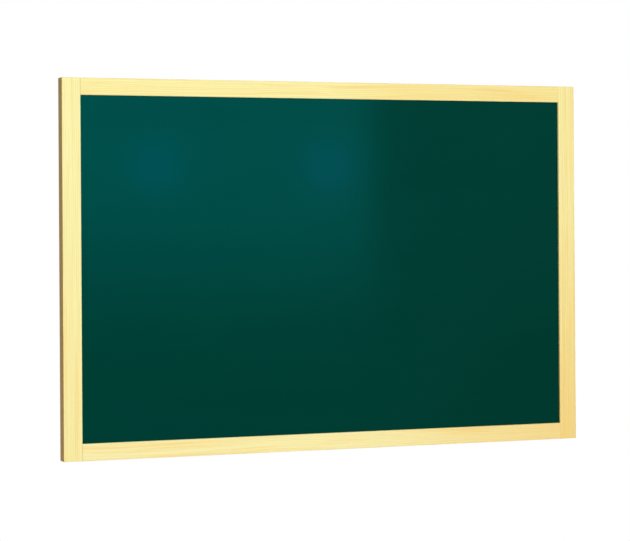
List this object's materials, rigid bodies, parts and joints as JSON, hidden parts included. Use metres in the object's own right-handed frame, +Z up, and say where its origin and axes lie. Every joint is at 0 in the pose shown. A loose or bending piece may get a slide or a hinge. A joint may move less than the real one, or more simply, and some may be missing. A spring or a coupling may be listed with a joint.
{
  "type": "wall chalkboard",
  "caption": "Wall chalkboard with a glossy dark green writing surface in a flat pale pine frame, hung by a swinging ring at the back of each side.",
  "frame": {"origin": "middle of the wall plane: centred in the board's width and height, on the backs of the wall bumpers", "axes": "+X to the viewer's right along the width, +Y from the writing face towards the wall, +Z up"},
  "size_m": [0.9, 0.0268, 0.6],
  "materials": {
    "pine": "planed pine, clear lacquered, satin",
    "green_lacquer": "dark green lacquered steel, semi-gloss",
    "fibreboard": "raw fibreboard, matte",
    "galvanised_sheet": "galvanised, dull spangle",
    "beech": "raw beech",
    "zinc_plated_steel": "bright zinc plated",
    "rubber": "matte moulded"
  },
  "bodies": {
    "board": {"left_stile": "pine", "right_stile": "pine", "top_rail": "pine", "bottom_rail": "pine", "dowel_top_left_outer": "beech", "dowel_top_left_inner": "beech", "dowel_top_right_outer": "beech", "dowel_top_right_inner": "beech", "dowel_bottom_left_outer": "beech", "dowel_bottom_left_inner": "beech", "dowel_bottom_right_outer": "beech", "dowel_bottom_right_inner": "beech", "writing_sheet": "green_lacquer", "core_board": "fibreboard", "backing_sheet": "galvanised_sheet", "top_bead": "pine", "bottom_bead": "pine", "left_bead": "pine", "right_bead": "pine", "bead_pin_top_1": "zinc_plated_steel", "bead_pin_top_2": "zinc_plated_steel", "bead_pin_top_3": "zinc_plated_steel", "bead_pin_bottom_1": "zinc_plated_steel", "bead_pin_bottom_2": "zinc_plated_steel", "bead_pin_bottom_3": "zinc_plated_steel", "bead_pin_left_1": "zinc_plated_steel", "bead_pin_left_2": "zinc_plated_steel", "bead_pin_right_1": "zinc_plated_steel", "bead_pin_right_2": "zinc_plated_steel", "hanger_strap_left": "zinc_plated_steel", "hanger_strap_right": "zinc_plated_steel", "hanger_screw_left_upper": "zinc_plated_steel", "hanger_screw_left_lower": "zinc_plated_steel", "hanger_screw_right_upper": "zinc_plated_steel", "hanger_screw_right_lower": "zinc_plated_steel", "bumper_top_left": "rubber", "bumper_top_right": "rubber", "bumper_bottom_left": "rubber", "bumper_bottom_right": "rubber"},
    "ring_left": {"hanger_ring_left": "zinc_plated_steel"},
    "ring_right": {"hanger_ring_right": "zinc_plated_steel"}
  },
  "joints": [
    {"name": "ring_left_swing", "type": "hinge", "parent": "board", "child": "ring_left", "pos_m": [-0.439, -0.00245, 0.2], "axis": [1, 0, 0], "range_deg": [0, 180]},
    {"name": "ring_right_swing", "type": "hinge", "parent": "board", "child": "ring_right", "pos_m": [0.439, -0.00245, 0.2], "axis": [1, 0, 0], "range_deg": [0, 180]}
  ]
}
